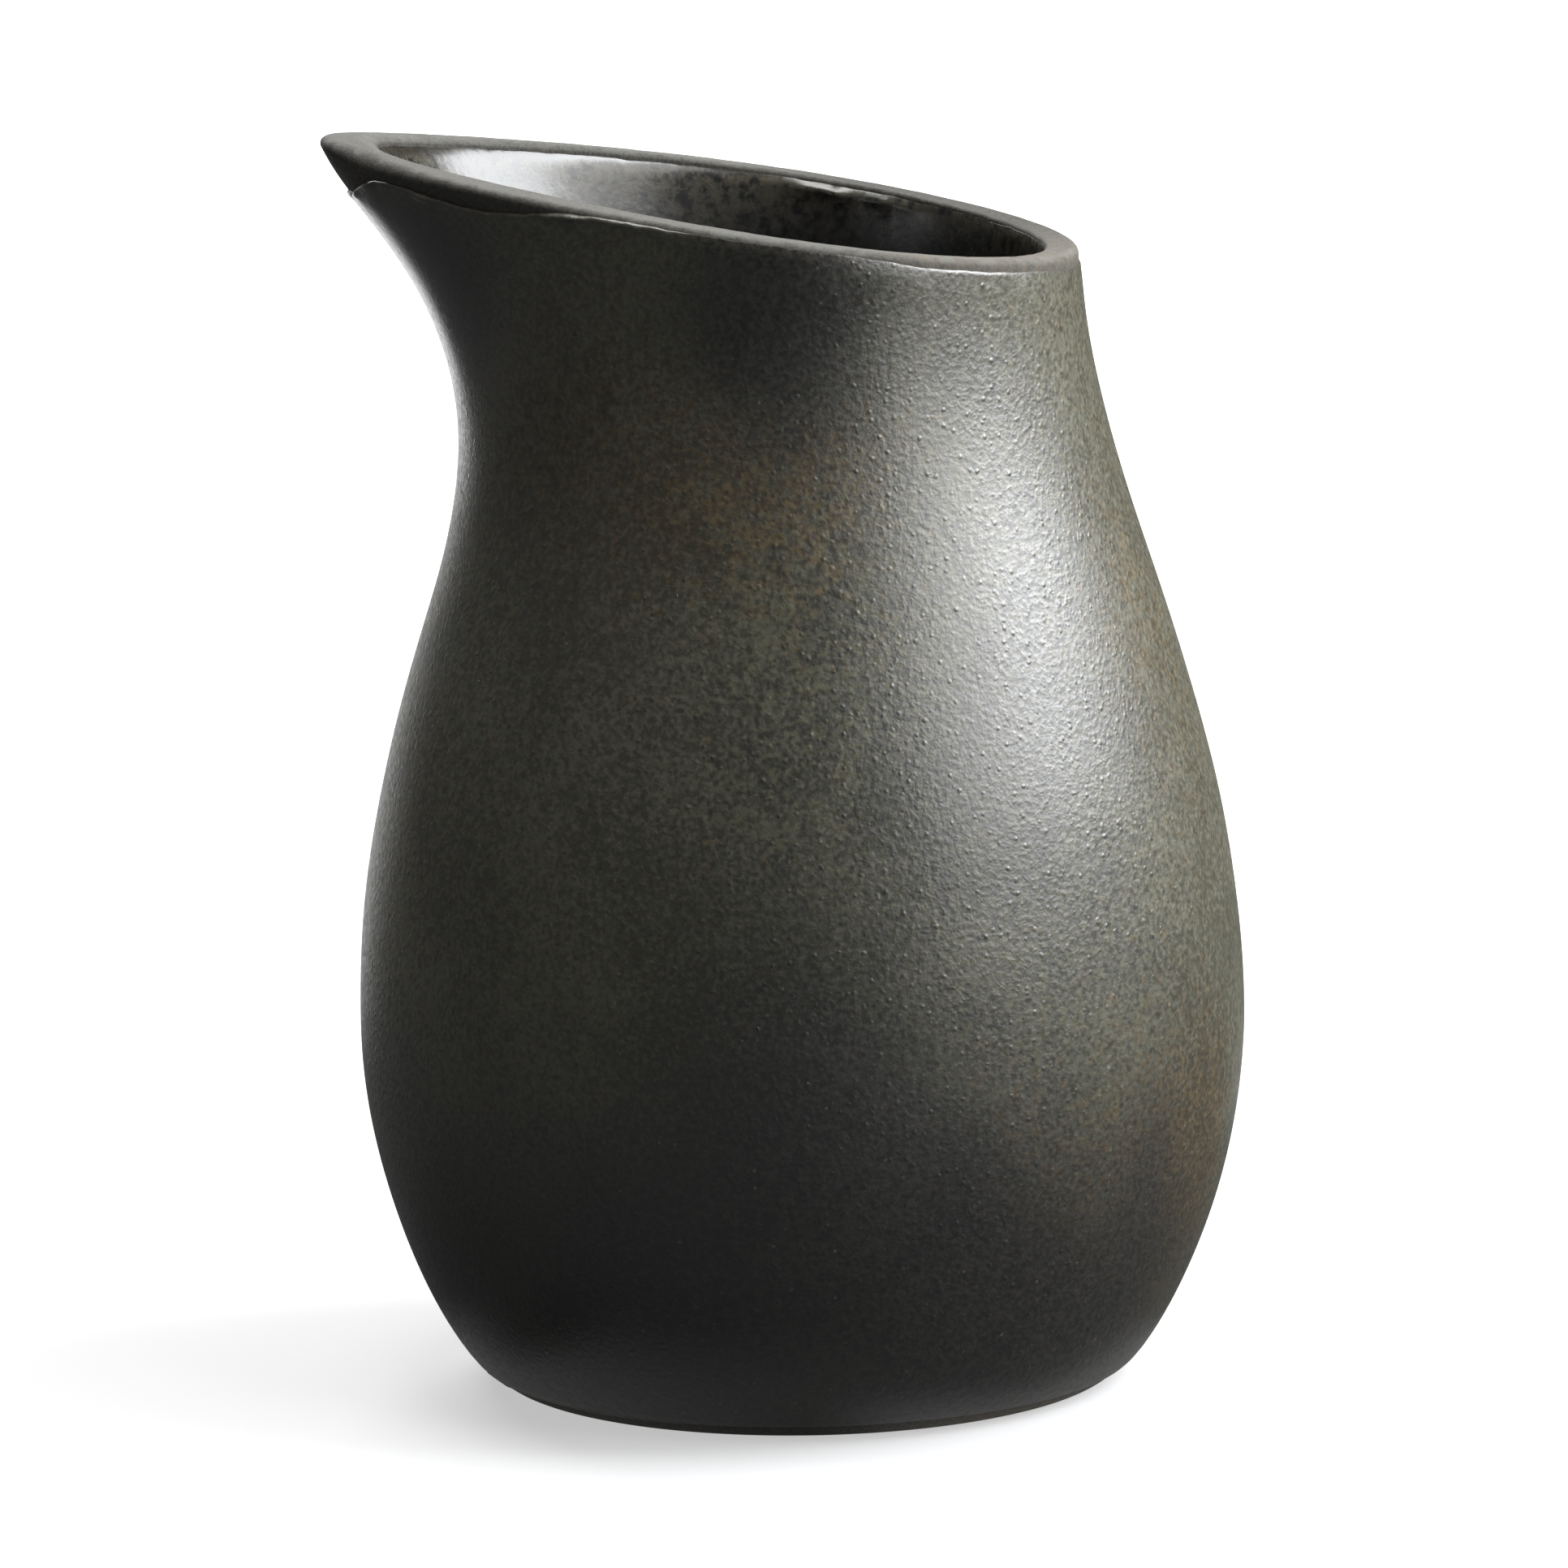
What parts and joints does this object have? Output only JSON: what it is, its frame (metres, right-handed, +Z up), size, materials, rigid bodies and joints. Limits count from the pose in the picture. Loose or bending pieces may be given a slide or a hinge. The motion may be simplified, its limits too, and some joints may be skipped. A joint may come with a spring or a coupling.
{
  "type": "cream jug",
  "caption": "Round-bellied stoneware cream jug with a drawn-out pouring spout and no handle, dark glaze outside and in, bare clay rim and foot.",
  "frame": {"origin": "on the table plane, under the middle of the jug's length from the spout's tip to its back", "axes": "+Z up, the spout points along -X, +Y completes the right-handed frame; the jug is the same on both sides of Y = 0"},
  "size_m": [0.082, 0.0796, 0.1133],
  "materials": {
    "bare_clay": "matt bare stoneware",
    "satin_glaze": "satin, finely pebbled",
    "gloss_glaze": "glossy",
    "recess_glaze": "satin"
  },
  "bodies": {
    "root": {"stoneware_body": "bare_clay", "outer_glaze": "satin_glaze", "liner_glaze": "gloss_glaze", "base_glaze": "recess_glaze"}
  },
  "joints": []
}
